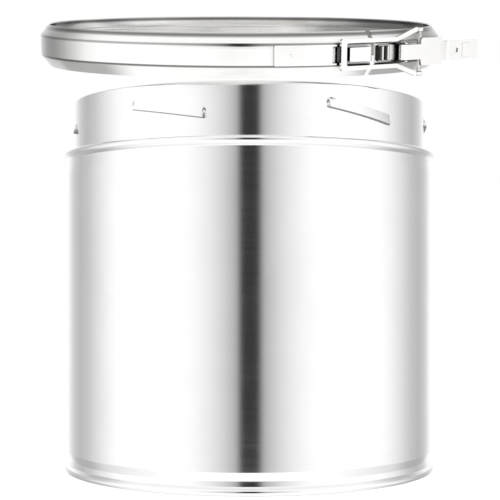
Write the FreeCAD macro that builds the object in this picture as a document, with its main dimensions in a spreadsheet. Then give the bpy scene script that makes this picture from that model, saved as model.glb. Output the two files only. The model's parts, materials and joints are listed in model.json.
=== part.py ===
"""Lidded storage can with a lever-lock band.

Origin: centre of the can's bottom edge. +Z is up, -Y is the front of the can, +X is to the right.
All sizes are millimetres, angles are degrees. A bearing is an angle about the band's axis,
counted from the front (-Y) towards the right (+X).
"""
import FreeCAD, Part
import math
import os
import Sketcher

Vector = FreeCAD.Vector
Rotation = FreeCAD.Rotation
Placement = FreeCAD.Placement

SIZES = {
    # can shell
    "sheet_wall": 1.0,
    "touch_gap": 0.02,
    "step_set": 0.4,
    "can_height": 290.0,
    "neck_radius": 139.6,
    "body_radius": 145.0,
    "groove_radius": 143.4,
    "shoulder_groove_radius": 144.4,
    "bead_radius": 145.6,
    "bead_round": 3.08,
    "foot_radius": 145.4,
    "foot_bead_top": 5.4,
    "foot_round": 2.76,
    "foot_groove_low": 6.2,
    "foot_groove_high": 10.6,
    "wall_low": 16.4,
    "wall_high": 235.0,
    "shoulder_groove_low": 241.0,
    "shoulder_groove_high": 244.5,
    "bead_low": 244.9,
    "bead_high": 250.9,
    "neck_low": 251.3,
    # slanted ramps on the neck
    "ramp_count": 6,
    "ramp_length": 58.0,
    "ramp_height": 8.4,
    "ramp_depth": 2.8,
    "ramp_slope": 8.8,
    "ramp_centre": 272.1,
    "ramp_bearing": 35.3,
    # seams and base
    "seam_width_angle": 1.8,
    "seam_depth": 0.35,
    "base_level": 46.0,
    "base_flange": 16.0,
    "base_panel_radius": 118.0,
    "base_panel_rise": 2.0,
    "fit_gap": 0.1,
    "weld_leg": 1.6,
    # mouth ring, lid and gasket
    "mouth_level": 285.0,
    "mouth_radius": 117.0,
    "mouth_lip": 11.0,
    "mouth_skirt": 13.0,
    "mouth_play": 0.05,
    "lid_radius": 124.0,
    "plug_gap": 0.4,
    "plug_depth": 14.7,
    "lid_panel_radius": 94.0,
    "lid_panel_rise": 3.0,
    "lid_edge_drop": 1.3,
    "gasket_height": 1.55,
    "gasket_inner": 118.3,
    "gasket_outer": 122.3,
    # band section
    "band_sheet": 1.2,
    "band_face_radius": 156.6,
    "band_face_half": 7.7,
    "band_lip_radius": 150.4,
    "band_lip_half": 15.6,
    "band_inner_half": 7.29,
    "band_inner_lip_radius": 149.46,
    "band_inner_lip_half": 14.86,
    "arm_angle": 134.0,
    "cut_angle": 0.12,
    "gap_left": 36.3,
    "gap_right": 37.9,
    # catch plate on the left arc
    "plate_gap": 0.05,
    "plate_sheet": 1.4,
    "plate_start": 9.0,
    "plate_end": 26.6,
    "plate_half": 7.0,
    "slot_start": 24.3,
    "slot_end": 26.3,
    "slot_half": 5.8,
    "slot_over": 0.5,
    "tongue_end": 35.8,
    "tongue_half": 5.0,
    "tongue_overlap": 0.2,
    "claw_start": 28.5,
    "claw_end": 35.0,
    "claw_half": 4.8,
    "claw_radius": 161.1,
    "claw_sink": 0.3,
    "claw_tip": 0.1,
    "weld_radius": 1.7,
    "weld_height": 0.3,
    "weld_lift": 0.01,
    "catch_weld_first": 13.4,
    "catch_weld_second": 20.0,
    "bracket_weld_first": 52.0,
    "bracket_weld_second": 56.0,
    # pivot bracket, lever and bail
    "catch_bearing": 26.9,
    "catch_radius": 160.5,
    "pivot_bearing": 46.5,
    "pivot_radius": 161.8,
    "bracket_start": 38.6,
    "bracket_end": 58.0,
    "bracket_half": 5.6,
    "ear_low": 5.6,
    "ear_high": 6.8,
    "ear_rise": 3.2,
    "ear_foot_half": 5.04,
    "ear_top_half": 2.88,
    "ear_sink": 0.2,
    "ear_gap_half": 5.76,
    "ear_gap_rise": 9.0,
    "roll_count": 2,
    "roll_radius": 2.4,
    "roll_seat": 158.0,
    "roll_first": 0.9,
    "roll_pitch": 2.0,
    "roll_inset": 0.6,
    "pin_radius": 1.6,
    "pin_clearance": 0.05,
    "pivot_pin_half": 6.85,
    "pin_head_radius": 2.4,
    "pin_head": 0.5,
    "knuckle_radius": 3.4,
    "bail_knuckle_radius": 3.2,
    "knuckle_half": 5.3,
    "crank_length": 17.0,
    "lever_sheet": 1.5,
    "lever_bearing": 41.0,
    "lever_plate_start": 16.0,
    "lever_plate_end": 38.8,
    "lever_plate_half": 9.7,
    "lever_flange": 2.9,
    "flange_start": 4.2,
    "flange_end": 0.6,
    "flange_slant": 2.5,
    "waist_overlap": 1.0,
    "tip_overlap": 0.2,
    "lever_joggle": 3.0,
    "lever_tip_start": 41.6,
    "lever_end": 75.0,
    "lever_tip_half": 7.0,
    "lever_hole_at": 51.0,
    "lever_hole_radius": 1.7,
    "bail_sheet": 1.8,
    "bail_bar_half": 2.5,
    "bail_near_half": 10.8,
    "bail_arm": 3.0,
    "bail_bend": 49.0,
    "bail_flare": 67.5,
    "bail_far_half": 17.2,
    "bail_pin_half": 16.9,
    "bail_sleeve": 2.6,
    "bail_sleeve_play": 0.4,
    "bail_corner": 1.0,
    # where the band hangs above the can
    "seat_level": 249.4,
    "swing_arm": 378.0,
    "swing_angle": 13.9,
    "swing_lean": 4.7,
    "band_spin": 1.163,
}

doc = FreeCAD.newDocument("StorageCan")
sheet = doc.addObject("Spreadsheet::Sheet", "Dims")
for line, (alias, number) in enumerate(SIZES.items(), 1):
    sheet.set(f"A{line}", alias)
    sheet.set(f"B{line}", str(number))
    sheet.setAlias(f"B{line}", alias)
doc.recompute()


class Size:
    """A length with the sheet expression that gives it."""

    def __init__(self, value, text):
        self.value = float(value)
        self.text = text

    def __add__(self, other):
        other = as_size(other)
        return Size(self.value + other.value, f"({self.text} + {other.text})")

    def __sub__(self, other):
        other = as_size(other)
        return Size(self.value - other.value, f"({self.text} - {other.text})")

    def __mul__(self, other):
        other = as_size(other)
        return Size(self.value * other.value, f"({self.text} * {other.text})")

    def __truediv__(self, other):
        other = as_size(other)
        return Size(self.value / other.value, f"({self.text} / {other.text})")

    def __neg__(self):
        return Size(-self.value, f"(0 - {self.text})")


def as_size(item):
    """A plain number becomes a Size; a Size stays one."""
    return item if isinstance(item, Size) else Size(item, repr(item))


def dim(alias):
    """The named driving dimension."""
    return Size(SIZES[alias], f"Dims.{alias}")


def sine(angle):
    return Size(math.sin(math.radians(angle.value)), f"sin({angle.text})")


def cosine(angle):
    return Size(math.cos(math.radians(angle.value)), f"cos({angle.text})")


ZERO = as_size(0)


# ---------------------------------------------------------------- places

def polar(radius, bearing, level=0.0):
    """Point at a bearing about the band's axis, in the band's frame."""
    angle = math.radians(bearing)
    return Vector(radius * math.sin(angle), -radius * math.cos(angle), level)


def turn_about_z(angle):
    return Rotation(Vector(0, 0, 1), angle)


def hung_band():
    """Placement that lifts the band off its seat, swung about an axis far in front of the can."""
    lean = math.radians(SIZES["swing_lean"])
    axis = Vector(math.cos(lean), 0, math.sin(lean))
    hinge = Vector(0, -SIZES["swing_arm"], SIZES["seat_level"])
    swing = Rotation(axis, SIZES["swing_angle"])
    seat = Vector(0, 0, SIZES["seat_level"])
    spin = turn_about_z(-SIZES["band_spin"])
    return Placement(hinge + swing.multVec(seat - hinge), swing * spin)


BAND = hung_band()
PIVOT = polar(SIZES["pivot_radius"], SIZES["pivot_bearing"])
CATCH = polar(SIZES["catch_radius"], SIZES["catch_bearing"])
CRANK_END = PIVOT + turn_about_z(SIZES["lever_bearing"]).multVec(Vector(SIZES["crank_length"], 0, 0))
BAIL_RUN = CRANK_END - CATCH
BAIL_BEARING = math.degrees(math.atan2(BAIL_RUN.y, BAIL_RUN.x))
BAIL_LENGTH = BAIL_RUN.Length
LEVER_PLACE = BAND * Placement(PIVOT, turn_about_z(SIZES["lever_bearing"]))
BAIL_PLACE = BAND * Placement(CATCH, turn_about_z(BAIL_BEARING))


# ---------------------------------------------------------------- drawing helpers

def new_body(name, place=None):
    body = doc.addObject("PartDesign::Body", name)
    body.Label = name
    if place is not None:
        body.Placement = place
    return body


def plane_of(body, role):
    return next(item for item in body.Origin.OriginFeatures if item.Role == role)


def new_sketch(body, role, turned=0.0):
    """Sketch on one of the body's own planes; turned spins it about the sketch's upright axis."""
    sketch = body.newObject("Sketcher::SketchObject", f"{body.Name}_sketch")
    sketch.AttachmentSupport = [(plane_of(body, role), "")]
    sketch.MapMode = "FlatFace"
    sketch.AttachmentOffset = Placement(Vector(), Rotation(Vector(0, 1, 0), turned))
    return sketch


def pin_point(sketch, edge, end, point):
    """Tie one end of an edge to its two coordinates in the sheet."""
    for kind, size in (("DistanceX", point[0]), ("DistanceY", point[1])):
        index = sketch.addConstraint(Sketcher.Constraint(kind, -1, 1, edge, end, size.value))
        sketch.setExpression(f"Constraints[{index}]", size.text)


def arc_middle(start, stop, radius):
    """Point half way along the arc that bulges to the right of the run from start to stop."""
    chord = stop - start
    middle = (start + stop) * 0.5
    side = Vector(chord.y, -chord.x, 0).normalize()
    rise = radius - math.sqrt(radius ** 2 - (chord.Length / 2) ** 2)
    return middle + side * rise


def outline(sketch, points, rounds=None):
    """Closed outline through points; rounds maps an edge's number to its bulge radius."""
    rounds = rounds or {}
    places = [Vector(as_size(x).value, as_size(y).value, 0) for x, y in points]
    first = sketch.GeometryCount
    count = len(points)
    for number in range(count):
        start = places[number]
        stop = places[(number + 1) % count]
        if number in rounds:
            middle = arc_middle(start, stop, rounds[number].value)
            sketch.addGeometry(Part.Arc(start, middle, stop), False)
        else:
            sketch.addGeometry(Part.LineSegment(start, stop), False)
    ends = []
    for number in range(count):
        forward = sketch.getPoint(first + number, 1).distanceToPoint(places[number]) < 1e-6
        ends.append((1, 2) if forward else (2, 1))
    for number in range(count):
        following = (number + 1) % count
        tie = Sketcher.Constraint("Coincident", first + number, ends[number][1],
                                  first + following, ends[following][0])
        sketch.addConstraint(tie)
    for number, (x, y) in enumerate(points):
        pin_point(sketch, first + number, ends[number][0], (as_size(x), as_size(y)))
    for number, radius in rounds.items():
        index = sketch.addConstraint(Sketcher.Constraint("Radius", first + number, radius.value))
        sketch.setExpression(f"Constraints[{index}]", radius.text)


def circle(sketch, centre, radius):
    number = sketch.addGeometry(Part.Circle(Vector(centre[0].value, centre[1].value, 0),
                                            Vector(0, 0, 1), radius.value), False)
    pin_point(sketch, number, 3, centre)
    index = sketch.addConstraint(Sketcher.Constraint("Radius", number, radius.value))
    sketch.setExpression(f"Constraints[{index}]", radius.text)


def revolve(body, points, angle=None, rounds=None, turned=0.0, kind="Revolution"):
    """Turn an outline of (radius, level) points about the body's upright axis."""
    sketch = new_sketch(body, "XZ_Plane", turned)
    outline(sketch, points, rounds)
    feature = body.newObject(f"PartDesign::{kind}", f"{body.Name}_{kind.lower()}")
    feature.Profile = sketch
    feature.ReferenceAxis = (sketch, ["V_Axis"])
    feature.Angle = 360.0
    if angle is not None:
        feature.setExpression("Angle", angle.text)
    return feature


def extrude(body, role, draw, length, kind="Pad"):
    """Pad or pocket, equally to both sides of the plane; draw adds the outline to the sketch."""
    sketch = new_sketch(body, role)
    draw(sketch)
    feature = body.newObject(f"PartDesign::{kind}", f"{body.Name}_{kind.lower()}")
    feature.Profile = sketch
    feature.setExpression("Length", length.text)
    feature.SideType = "Symmetric"
    return feature


def box_points(low_x, high_x, low_y, high_y):
    return [(low_x, low_y), (high_x, low_y), (high_x, high_y), (low_x, high_y)]


def ring_sector(name, points, start, angle):
    """Revolved sector of the band's frame between two bearings."""
    body = new_body(name, BAND * Placement(Vector(), turn_about_z(start.value - 90)))
    revolve(body, points, angle)
    return body


# ---------------------------------------------------------------- can

def shell_outline():
    """Half section of the shell: outside upwards, inside downwards."""
    wall = dim("sheet_wall")
    groove = dim("groove_radius")
    shoulder = dim("shoulder_groove_radius")
    body = dim("body_radius")
    neck = dim("neck_radius")
    bead = dim("bead_radius")
    foot = dim("foot_radius")
    outside = [
        (foot, ZERO), (foot, dim("foot_bead_top")),
        (groove, dim("foot_groove_low")), (groove, dim("foot_groove_high")),
        (body, dim("wall_low")), (body, dim("wall_high")),
        (shoulder, dim("shoulder_groove_low")), (shoulder, dim("shoulder_groove_high")),
        (bead, dim("bead_low")), (bead, dim("bead_high")),
        (neck, dim("neck_low")), (neck, dim("can_height")),
    ]
    inside = [
        (neck - wall, dim("can_height")), (neck - wall, dim("neck_low") - wall),
        (shoulder - wall, dim("bead_high") - wall * 2), (shoulder - wall, dim("shoulder_groove_low")),
        (body - wall, dim("wall_high") - wall), (body - wall, dim("wall_low") + wall),
        (groove - wall, dim("foot_groove_high")), (groove - wall, ZERO),
    ]
    return outside + inside


def neck_ramp(number):
    """One slanted ramp: the part of a thin tube that lies inside a tilted box."""
    tube = doc.addObject("Part::Cylinder", f"ramp_outside_{number}")
    tube.setExpression("Radius", "Dims.neck_radius + Dims.ramp_depth")
    tube.setExpression("Height", "Dims.can_height - Dims.neck_low")
    tube.setExpression("Placement.Base.z", "Dims.neck_low")
    hollow = doc.addObject("Part::Cylinder", f"ramp_inside_{number}")
    hollow.setExpression("Radius", "Dims.neck_radius - Dims.sheet_wall / 2")
    hollow.setExpression("Height", "Dims.can_height - Dims.neck_low")
    hollow.setExpression("Placement.Base.z", "Dims.neck_low")
    skin = doc.addObject("Part::Cut", f"ramp_skin_{number}")
    skin.Base = tube
    skin.Tool = hollow
    block = doc.addObject("Part::Box", f"ramp_block_{number}")
    block.setExpression("Length", "Dims.ramp_length")
    block.setExpression("Height", "Dims.ramp_height")
    block.setExpression("Width", "Dims.neck_radius")
    bearing = SIZES["ramp_bearing"] + 360.0 / SIZES["ramp_count"] * number
    front = SIZES["neck_radius"] + 2 * SIZES["ramp_depth"]
    corner = Placement(Vector(-SIZES["ramp_length"] / 2, -front, -SIZES["ramp_height"] / 2), Rotation())
    slope = Placement(Vector(0, 0, SIZES["ramp_centre"]),
                      Rotation(Vector(0, 1, 0), SIZES["ramp_slope"]))
    block.Placement = Placement(Vector(), turn_about_z(bearing)) * slope * corner
    ramp = doc.addObject("Part::Common", f"ramp_{number}")
    ramp.Base = skin
    ramp.Tool = block
    return ramp


def can_shell():
    turned = new_body("shell_of_revolution")
    revolve(turned, shell_outline(), rounds={0: dim("foot_round"), 8: dim("bead_round")})
    shell = doc.addObject("Part::MultiFuse", "can_shell")
    shell.Label = "can_shell"
    shell.Shapes = [turned] + [neck_ramp(number) for number in range(SIZES["ramp_count"])]
    return shell


def side_seam():
    """Longitudinal weld bead up the back of the wall."""
    low = dim("body_radius") + dim("touch_gap")
    high = dim("body_radius") + dim("seam_depth")
    margin = dim("sheet_wall")
    body = new_body("side_seam", Placement(Vector(), turn_about_z(90)))
    revolve(body, box_points(low, high, dim("wall_low") + margin, dim("wall_high") - margin),
            dim("seam_width_angle"))
    return body


def base_plate():
    """Recessed bottom with a down-turned flange and one raised panel."""
    wall = dim("sheet_wall")
    outer = dim("body_radius") - wall - dim("fit_gap")
    level = dim("base_level")
    panel = dim("base_panel_radius")
    rise = dim("base_panel_rise")
    body = new_body("base_plate")
    revolve(body, [
        (ZERO, level + rise), (panel, level + rise), (panel + rise, level),
        (outer - wall, level), (outer - wall, level - dim("base_flange")),
        (outer, level - dim("base_flange")), (outer, level + wall),
        (panel + rise + dim("step_set"), level + wall), (panel + dim("step_set"), level + rise + wall),
        (ZERO, level + rise + wall)])
    return body


def weld_ring(name, corner_radius, corner_level, leg_in, leg_up):
    """Triangular fillet weld in the corner between two sheets."""
    body = new_body(name)
    revolve(body, [(corner_radius, corner_level), (corner_radius, corner_level + leg_up),
                   (corner_radius - leg_in, corner_level)])
    return body


def base_weld():
    wall = dim("sheet_wall")
    corner = dim("body_radius") - wall - dim("touch_gap")
    level = dim("base_level") - dim("base_flange") - dim("touch_gap")
    return weld_ring("base_weld", corner, level, dim("weld_leg"), -dim("weld_leg"))


def mouth_ring():
    """Flat ring that narrows the mouth, with an outer skirt and an inner lip."""
    wall = dim("sheet_wall")
    outer = dim("neck_radius") - wall - dim("mouth_play")
    inner = dim("mouth_radius")
    top = dim("mouth_level")
    body = new_body("mouth_ring")
    revolve(body, [
        (outer, top - dim("mouth_skirt")), (outer, top), (inner, top), (inner, top - dim("mouth_lip")),
        (inner + wall, top - dim("mouth_lip")), (inner + wall, top - wall),
        (outer - wall, top - wall), (outer - wall, top - dim("mouth_skirt"))])
    return body


def mouth_weld():
    corner = dim("neck_radius") - dim("sheet_wall") - dim("touch_gap")
    level = dim("mouth_level") + dim("touch_gap")
    return weld_ring("mouth_weld", corner, level, dim("weld_leg"), dim("weld_leg"))


# ---------------------------------------------------------------- lid

def lid():
    """Press-in lid: flange with a turned-down edge, plug wall and a raised centre panel."""
    wall = dim("sheet_wall")
    plug = dim("mouth_radius") - dim("plug_gap")
    under = dim("mouth_level") + dim("fit_gap") * 2 + dim("gasket_height")
    floor = under - dim("plug_depth")
    panel = dim("lid_panel_radius")
    rise = dim("lid_panel_rise")
    rim = dim("lid_radius")
    edge = under - dim("lid_edge_drop")
    step = panel + dim("step_set")
    body = new_body("lid")
    revolve(body, [
        (ZERO, floor + rise), (panel, floor + rise), (panel + rise, floor), (plug, floor),
        (plug, under), (rim - wall, under), (rim - wall, edge), (rim, edge),
        (rim, under + wall), (plug - wall, under + wall), (plug - wall, floor + wall),
        (step + rise, floor + wall), (step, floor + rise + wall), (ZERO, floor + rise + wall)])
    return body


def lid_gasket():
    low = dim("mouth_level") + dim("fit_gap")
    body = new_body("lid_gasket")
    revolve(body, box_points(dim("gasket_inner"), dim("gasket_outer"), low, low + dim("gasket_height")))
    return body


# ---------------------------------------------------------------- band

def band_section():
    """V section of the strip, open towards the can."""
    face = dim("band_face_radius")
    inner = face - dim("band_sheet")
    return [
        (dim("band_lip_radius"), dim("band_lip_half")),
        (dim("band_inner_lip_radius"), dim("band_inner_lip_half")),
        (inner, dim("band_inner_half")), (inner, -dim("band_inner_half")),
        (dim("band_inner_lip_radius"), -dim("band_inner_lip_half")),
        (dim("band_lip_radius"), -dim("band_lip_half")),
        (face, -dim("band_face_half")), (face, dim("band_face_half"))]


def band_arcs():
    """The strip in three arcs: the right one ends at the bracket, the left one at the catch."""
    arm = dim("arm_angle")
    cut = dim("cut_angle")
    right = ring_sector("band_right_arc", band_section(), dim("gap_right"), arm)
    left = ring_sector("band_left_arc", band_section(), dim("gap_left") - arm, arm)
    back_start = dim("gap_right") + arm + cut
    back_angle = as_size(360) - arm * 2 - cut * 2 - (dim("gap_right") - dim("gap_left"))
    back = ring_sector("band_back_arc", band_section(), back_start, back_angle)
    return [right, left, back]


def plate_radii():
    low = dim("band_face_radius") + dim("plate_gap")
    return low, low + dim("plate_sheet")


def catch_plate():
    """Curved plate with a slot, a narrow tongue and a raised claw that holds the bail's bar."""
    low, high = plate_radii()
    over = dim("slot_over")
    start = dim("plate_start")
    tongue_start = dim("plate_end") - dim("tongue_overlap")
    body = ring_sector("catch_plate", box_points(low, high, -dim("plate_half"), dim("plate_half")),
                       start, dim("plate_end") - start)
    revolve(body, box_points(low, high, -dim("tongue_half"), dim("tongue_half")),
            dim("tongue_end") - tongue_start, turned=(tongue_start - start).value)
    revolve(body, box_points(low - over, high + over, -dim("slot_half"), dim("slot_half")),
            dim("slot_end") - dim("slot_start"), turned=(dim("slot_start") - start).value, kind="Groove")

    def claw(sketch):
        root = low + dim("claw_sink")
        corners = []
        for radius, bearing in ((root, "claw_start"), (root, "claw_end"),
                                (high + dim("claw_tip"), "claw_end"), (dim("claw_radius"), "claw_start")):
            angle = dim(bearing) - start
            corners.append((radius * cosine(angle), radius * sine(angle)))
        outline(sketch, corners)

    extrude(body, "XY_Plane", claw, dim("claw_half") * 2)
    return body


def weld_dots(name, bearings):
    """Shallow round spot welds on a plate's outer face, at the named bearings."""
    radius = plate_radii()[1].value + SIZES["weld_lift"]
    dots = []
    for number, bearing in enumerate(SIZES[alias] for alias in bearings):
        dot = doc.addObject("Part::Cylinder", f"{name}_{number}")
        dot.setExpression("Radius", "Dims.weld_radius")
        dot.setExpression("Height", "Dims.weld_height")
        outward = Rotation(Vector(0, 0, 1), polar(1, bearing))
        dot.Placement = BAND * Placement(polar(radius, bearing), outward)
        dots.append(dot)
    group = doc.addObject("Part::Compound", name)
    group.Label = name
    group.Links = dots
    return group


def pivot_bracket():
    """Bracket on the right arc: curved plate, two stiffening rolls and two ears for the pivot pin."""
    low, high = plate_radii()
    start = dim("bracket_start")
    body = ring_sector("pivot_bracket", box_points(low, high, -dim("bracket_half"), dim("bracket_half")),
                       start, dim("bracket_end") - start)

    def rolls(sketch):
        for number in range(SIZES["roll_count"]):
            angle = dim("roll_first") + dim("roll_pitch") * number
            centre = (dim("roll_seat") * cosine(angle), dim("roll_seat") * sine(angle))
            circle(sketch, centre, dim("roll_radius"))

    extrude(body, "XY_Plane", rolls, (dim("bracket_half") - dim("roll_inset")) * 2)
    below = low - dim("roll_radius") * 2
    revolve(body, box_points(below, low, -dim("bracket_half"), dim("bracket_half")), kind="Groove")
    angle = dim("pivot_bearing") - start
    along = (-sine(angle), cosine(angle))
    outward = (cosine(angle), sine(angle))

    def spot(radius, offset):
        return (outward[0] * radius + along[0] * offset, outward[1] * radius + along[1] * offset)

    def ears(sketch):
        wide = dim("ear_foot_half")
        narrow = dim("ear_top_half")
        foot = low + dim("ear_sink")
        top = dim("pivot_radius") + dim("ear_rise")
        outline(sketch, [spot(foot, -wide), spot(top, -narrow), spot(top, narrow), spot(foot, wide)])

    def between_ears(sketch):
        half = dim("ear_gap_half")
        top = high + dim("ear_gap_rise")
        outline(sketch, [spot(high, -half), spot(top, -half), spot(top, half), spot(high, half)])

    def bore(sketch):
        circle(sketch, spot(dim("pivot_radius"), ZERO), dim("pin_radius") + dim("touch_gap"))

    extrude(body, "XY_Plane", ears, dim("ear_high") * 2)
    extrude(body, "XY_Plane", between_ears, dim("ear_low") * 2, "Pocket")
    extrude(body, "XY_Plane", bore, dim("pivot_pin_half") * 3, "Pocket")
    return body


def pivot_pin():
    """Rivet through the ears and the lever's knuckle."""
    body = new_body("pivot_pin", LEVER_PLACE)
    extrude(body, "XY_Plane", lambda sketch: circle(sketch, (ZERO, ZERO), dim("pin_radius")),
            dim("pivot_pin_half") * 2)
    return body


def pin_heads():
    """Flat heads closed over the two ends of the pivot rivet."""
    heads = []
    for number, side in enumerate((1, -1)):
        head = doc.addObject("Part::Cylinder", f"pin_head_{number}")
        head.setExpression("Radius", "Dims.pin_head_radius")
        head.setExpression("Height", "Dims.pin_head")
        flip = Rotation(Vector(0, 0, 1), Vector(0, 0, side))
        head.Placement = LEVER_PLACE * Placement(Vector(0, 0, side * SIZES["pivot_pin_half"]), flip)
        heads.append(head)
    group = doc.addObject("Part::Compound", "pin_heads")
    group.Label = "pin_heads"
    group.Links = heads
    return group


def lever():
    """Lever in its closed place: knuckles at pivot and bail, wide flanged plate, joggled tip."""
    gauge = dim("lever_sheet")
    skin = -dim("knuckle_radius")
    start = dim("lever_plate_start")
    stop = dim("lever_plate_end")
    tip = dim("lever_tip_start")
    end = dim("lever_end")
    raised = skin - dim("lever_joggle")
    deep = skin + gauge + dim("lever_flange")
    crank = dim("crank_length")
    body = new_body("lever", LEVER_PLACE)

    def waist(sketch):
        outline(sketch, box_points(ZERO, start + dim("waist_overlap"), skin, skin + gauge))

    def pivot_knuckle(sketch):
        circle(sketch, (ZERO, ZERO), dim("knuckle_radius"))

    def bail_knuckle(sketch):
        circle(sketch, (crank, ZERO), dim("bail_knuckle_radius"))

    def plate(sketch):
        outline(sketch, box_points(start, stop, skin, skin + gauge))

    def flanges(sketch):
        near = start + dim("flange_start")
        outline(sketch, [(near, skin), (stop - dim("flange_end"), skin),
                         (stop - dim("flange_slant"), deep), (near, deep)])

    def between_flanges(sketch):
        outline(sketch, box_points(start, stop, skin + gauge, deep + gauge))

    def handle(sketch):
        lap = dim("tip_overlap")
        outline(sketch, [(stop - lap, skin), (tip, raised), (end, raised), (end, raised + gauge),
                         (tip + lap, raised + gauge), (stop + lap, skin + gauge),
                         (stop - lap, skin + gauge)])

    def bores(sketch):
        circle(sketch, (ZERO, ZERO), dim("pin_radius") + dim("pin_clearance"))
        circle(sketch, (crank, ZERO), dim("pin_radius") + dim("pin_clearance"))

    def tip_hole(sketch):
        circle(sketch, (dim("lever_hole_at"), ZERO), dim("lever_hole_radius"))

    extrude(body, "XY_Plane", plate, dim("lever_plate_half") * 2)
    extrude(body, "XY_Plane", flanges, dim("lever_plate_half") * 2)
    extrude(body, "XY_Plane", between_flanges, (dim("lever_plate_half") - gauge) * 2, "Pocket")
    extrude(body, "XY_Plane", waist, dim("knuckle_half") * 2)
    extrude(body, "XY_Plane", pivot_knuckle, dim("knuckle_half") * 2)
    extrude(body, "XY_Plane", bail_knuckle, dim("knuckle_half") * 2)
    extrude(body, "XY_Plane", handle, dim("lever_tip_half") * 2)
    extrude(body, "XY_Plane", bores, dim("lever_plate_half") * 3, "Pocket")
    extrude(body, "XZ_Plane", tip_hole, dim("lever_plate_half") * 3, "Pocket")
    return body


def bail_frame():
    """Flat stamped frame: bar behind the claw, two arms that flare out to the long bail pin."""
    near = dim("bail_near_half")
    far = dim("bail_far_half")
    arm = dim("bail_arm")
    bar = dim("bail_bar_half")
    bend = dim("bail_bend")
    flare = dim("bail_flare")
    corner = dim("bail_corner")
    reach = as_size(round(BAIL_LENGTH, 6))
    body = new_body("bail_frame", BAIL_PLACE)
    upper = [(-bar, near), (bend, near), (flare, far), (reach, far), (reach, far - arm),
             (flare + corner, far - arm), (bend + corner, near - arm), (bar, near - arm)]
    lower = [(x, -y) for x, y in reversed(upper)]

    def sleeves(sketch):
        circle(sketch, (reach, ZERO), dim("bail_sleeve"))

    def between_sleeves(sketch):
        circle(sketch, (reach, ZERO), dim("bail_sleeve") + dim("bail_sleeve_play"))

    def bore(sketch):
        circle(sketch, (reach, ZERO), dim("pin_radius") + dim("touch_gap"))

    extrude(body, "XZ_Plane", lambda sketch: outline(sketch, upper + lower), dim("bail_sheet"))
    extrude(body, "XY_Plane", sleeves, far * 2)
    extrude(body, "XY_Plane", between_sleeves, (far - arm) * 2, "Pocket")
    extrude(body, "XY_Plane", bore, far * 3, "Pocket")
    return body


def bail_pin():
    place = BAND * Placement(CRANK_END, Rotation())
    body = new_body("bail_pin", place)
    extrude(body, "XY_Plane", lambda sketch: circle(sketch, (ZERO, ZERO), dim("pin_radius")),
            dim("bail_pin_half") * 2)
    return body


# ---------------------------------------------------------------- assembly

def build():
    parts = [can_shell(), side_seam(), base_plate(), base_weld(), mouth_ring(), mouth_weld()]
    parts += [lid(), lid_gasket()]
    parts += band_arcs()
    parts.append(catch_plate())
    parts.append(weld_dots("catch_welds", ["catch_weld_first", "catch_weld_second"]))
    parts.append(pivot_bracket())
    parts.append(weld_dots("bracket_welds", ["bracket_weld_first", "bracket_weld_second"]))
    parts += [pivot_pin(), pin_heads(), lever(), bail_frame(), bail_pin()]
    return parts


def check_and_write(parts):
    doc.recompute()
    for item in doc.Objects:
        if "Invalid" in item.State or "Error" in item.State:
            raise RuntimeError(f"{item.Name} failed: {item.State}")
    for part in parts:
        if part.Shape.isNull() or not part.Shape.isValid():
            raise RuntimeError(f"{part.Label} has no valid shape")
    os.makedirs("parts", exist_ok=True)
    for part in parts:
        part.Shape.exportStep(f"parts/{part.Label}.step")
        print(part.Label, len(part.Shape.Solids), round(part.Shape.Volume, 1), part.Shape.BoundBox)


check_and_write(build())
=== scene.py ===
"""Looks of the storage can with its lever-lock band.

Pieces are drawn in millimetres and placed in the row frame, in metres. A bearing is an angle about a
piece's own upright axis, in degrees, counted from the front (-Y) towards the right (+X).
"""
import json
import math

import bmesh
import bpy
from mathutils import Matrix, Vector


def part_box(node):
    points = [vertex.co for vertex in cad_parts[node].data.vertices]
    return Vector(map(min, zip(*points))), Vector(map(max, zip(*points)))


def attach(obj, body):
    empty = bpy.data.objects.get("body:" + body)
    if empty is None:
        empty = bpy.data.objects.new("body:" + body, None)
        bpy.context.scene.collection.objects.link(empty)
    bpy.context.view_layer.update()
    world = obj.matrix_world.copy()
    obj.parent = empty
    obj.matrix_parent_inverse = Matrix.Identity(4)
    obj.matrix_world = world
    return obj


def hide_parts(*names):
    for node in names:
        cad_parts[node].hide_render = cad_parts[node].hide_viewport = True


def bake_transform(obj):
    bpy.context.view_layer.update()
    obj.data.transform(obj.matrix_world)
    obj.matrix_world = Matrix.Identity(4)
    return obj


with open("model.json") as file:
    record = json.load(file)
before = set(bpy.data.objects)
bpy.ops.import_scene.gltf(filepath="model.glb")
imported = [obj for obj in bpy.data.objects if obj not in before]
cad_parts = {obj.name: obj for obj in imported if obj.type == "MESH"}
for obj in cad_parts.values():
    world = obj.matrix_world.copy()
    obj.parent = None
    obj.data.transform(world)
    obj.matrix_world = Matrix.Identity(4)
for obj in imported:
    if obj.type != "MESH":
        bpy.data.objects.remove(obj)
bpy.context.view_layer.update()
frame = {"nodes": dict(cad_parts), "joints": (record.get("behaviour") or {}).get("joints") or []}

MM = 0.001
JOINTS = {joint["name"]: joint for joint in frame["joints"]}


# ---------------------------------------------------------------- places and sizes from the frame

def band_frame():
    """Frame of the hung band: origin at its centre, z along its axis, the lever's pivot at its bearing."""
    swing = JOINTS["band_swing"]
    hinge = Vector(swing["pos_m"])
    turn = Matrix.Rotation(math.radians(-swing["range_deg"][0]), 4, Vector(swing["axis"]))
    seat = Vector((0, 0, hinge.z))
    hung = Matrix.Translation(hinge) @ turn @ Matrix.Translation(seat - hinge)
    spin = bearing_of(hung.inverted() @ Vector(JOINTS["lever_pivot"]["pos_m"])) - PIVOT_BEARING
    return hung @ Matrix.Rotation(math.radians(spin), 4, "Z")


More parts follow.
